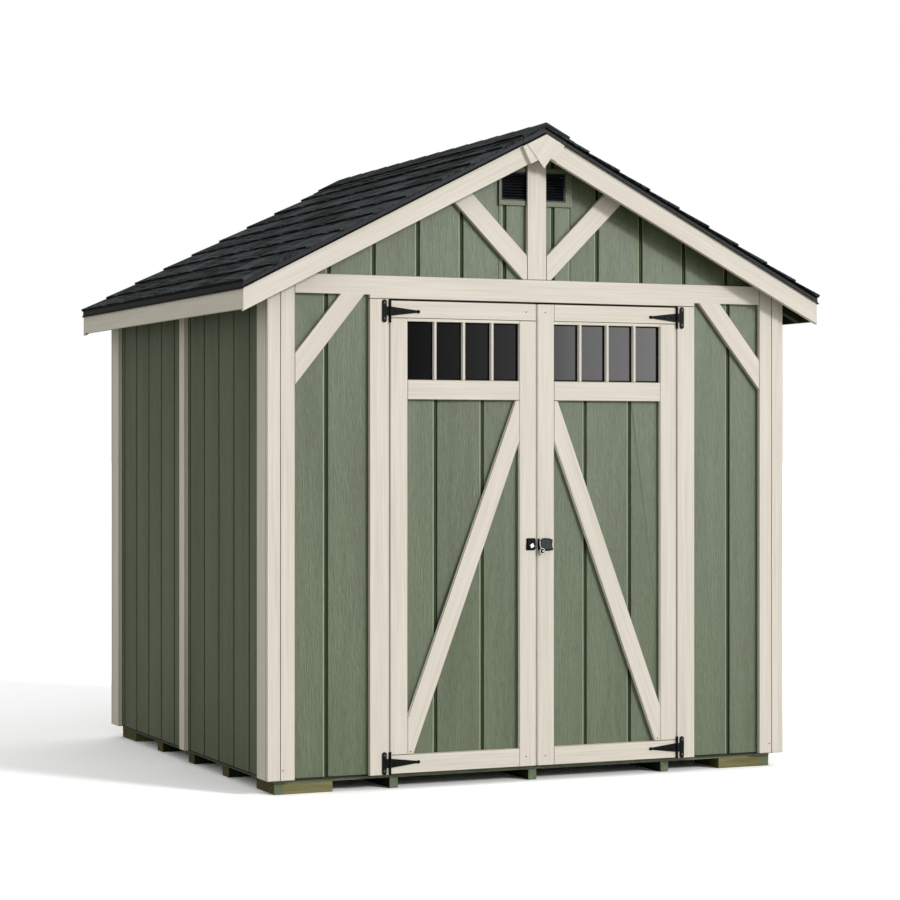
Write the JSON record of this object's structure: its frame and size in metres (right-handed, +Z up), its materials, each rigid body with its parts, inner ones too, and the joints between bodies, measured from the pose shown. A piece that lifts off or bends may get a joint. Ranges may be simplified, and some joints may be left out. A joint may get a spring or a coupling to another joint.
{
  "type": "garden shed with grooved wood panels and double doors",
  "caption": "Square garden shed with sage grooved panels, cream boards and braces, a black shingle gable roof, a gable vent and double doors with windows on black T-hinges.",
  "frame": {"origin": "on the ground, under the middle of the whole outline", "axes": "+X to the right seen from the front, +Y from the doors to the rear wall, +Z up"},
  "size_m": [2.758, 2.494, 2.8479],
  "materials": {
    "cream_board": "satin exterior paint over sawn boards",
    "sage_panel": "satin exterior paint over embossed wood grain",
    "sage_timber": "exterior paint on sawn timber",
    "treated_timber": "bare pressure treated softwood",
    "asphalt_shingle": "mineral granules on asphalt",
    "black_metal": "black powder coat",
    "tinted_pane": "polished, grey tint"
  },
  "bodies": {
    "shed": {"corner_blocks": "treated_timber", "runners": "sage_timber", "cross_bearers": "sage_timber", "floor_deck": "sage_timber", "side_plates": "treated_timber", "end_plates": "treated_timber", "side_studs": "treated_timber", "end_studs": "treated_timber", "rafters": "treated_timber", "ridge_board": "treated_timber", "collar_ties": "treated_timber", "eave_blocks": "sage_timber", "left_wall": "sage_panel", "right_wall": "sage_panel", "rear_wall": "sage_panel", "front_wall_left": "sage_panel", "front_wall_right": "sage_panel", "front_gable": "sage_panel", "corner_boards_side": "cream_board", "corner_boards_end": "cream_board", "battens": "cream_board", "tie_board": "cream_board", "door_casing": "cream_board", "king_post": "cream_board", "front_braces": "cream_board", "gable_vent": "black_metal", "rake_boards": "cream_board", "eave_fascias": "cream_board", "apex_plate": "cream_board", "drip_edges": "black_metal", "roof_deck": "sage_timber", "shingles_left": "asphalt_shingle", "shingles_right": "asphalt_shingle", "ridge_cap": "asphalt_shingle", "hinge_plates": "black_metal"},
    "left_door": {"left_panel": "sage_panel", "left_frame": "cream_board", "left_pane": "tinted_pane", "left_straps": "black_metal", "left_lock": "black_metal"},
    "right_door": {"right_panel": "sage_panel", "right_frame": "cream_board", "right_pane": "tinted_pane", "right_straps": "black_metal", "right_pull": "black_metal"}
  },
  "joints": [
    {"name": "left_door_hinge", "type": "hinge", "parent": "shed", "child": "left_door", "pos_m": [-0.69, -1.1532, 1.068], "axis": [0, 0, -1], "range_deg": [0, 110]},
    {"name": "right_door_hinge", "type": "hinge", "parent": "shed", "child": "right_door", "pos_m": [0.69, -1.1532, 1.068], "axis": [0, 0, 1], "range_deg": [0, 110]}
  ]
}
